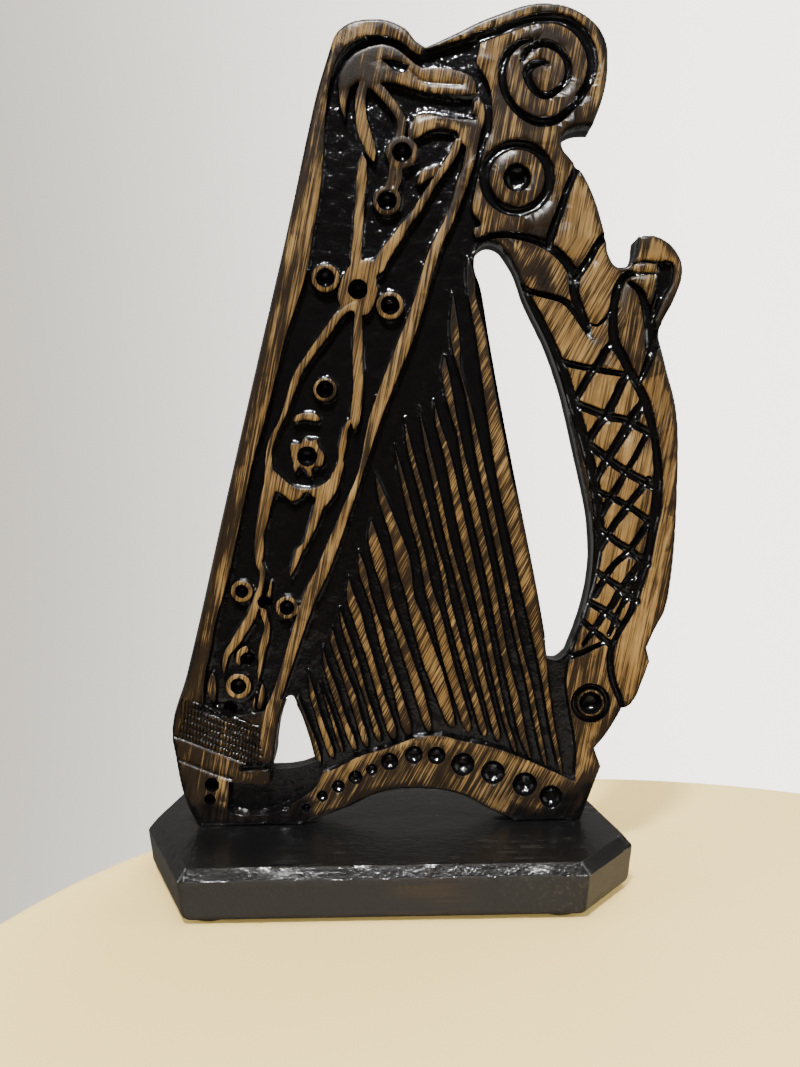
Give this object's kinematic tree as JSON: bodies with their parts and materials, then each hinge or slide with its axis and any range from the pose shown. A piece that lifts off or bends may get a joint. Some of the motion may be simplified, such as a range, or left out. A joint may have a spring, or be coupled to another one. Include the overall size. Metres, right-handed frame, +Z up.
{
  "type": "carved harp ornament",
  "caption": "Carved wooden ornament in the shape of an Irish harp, pierced and cut in relief on its front, standing by its feet on a bevelled plinth with felt pads.",
  "frame": {"origin": "on the resting plane, under the middle of the overall width and depth", "axes": "+Z up, the carved face looks towards -Y, +X runs from the soundbox towards the pillar"},
  "size_m": [0.1888, 0.0934, 0.2953],
  "materials": {
    "carved_wood": "black stain sanded back to golden wood on the raised parts, gloss lacquer",
    "black_plinth": "black stain under gloss lacquer, worn brown in places",
    "screw_steel": "zinc plated",
    "felt": "matt pressed felt"
  },
  "bodies": {
    "root": {"harp_board": "carved_wood", "plinth": "black_plinth", "screw_left_foot": "screw_steel", "screw_right_foot": "screw_steel", "felt_pad_front_left": "felt", "felt_pad_front_right": "felt", "felt_pad_back_left": "felt", "felt_pad_back_right": "felt"}
  },
  "joints": []
}
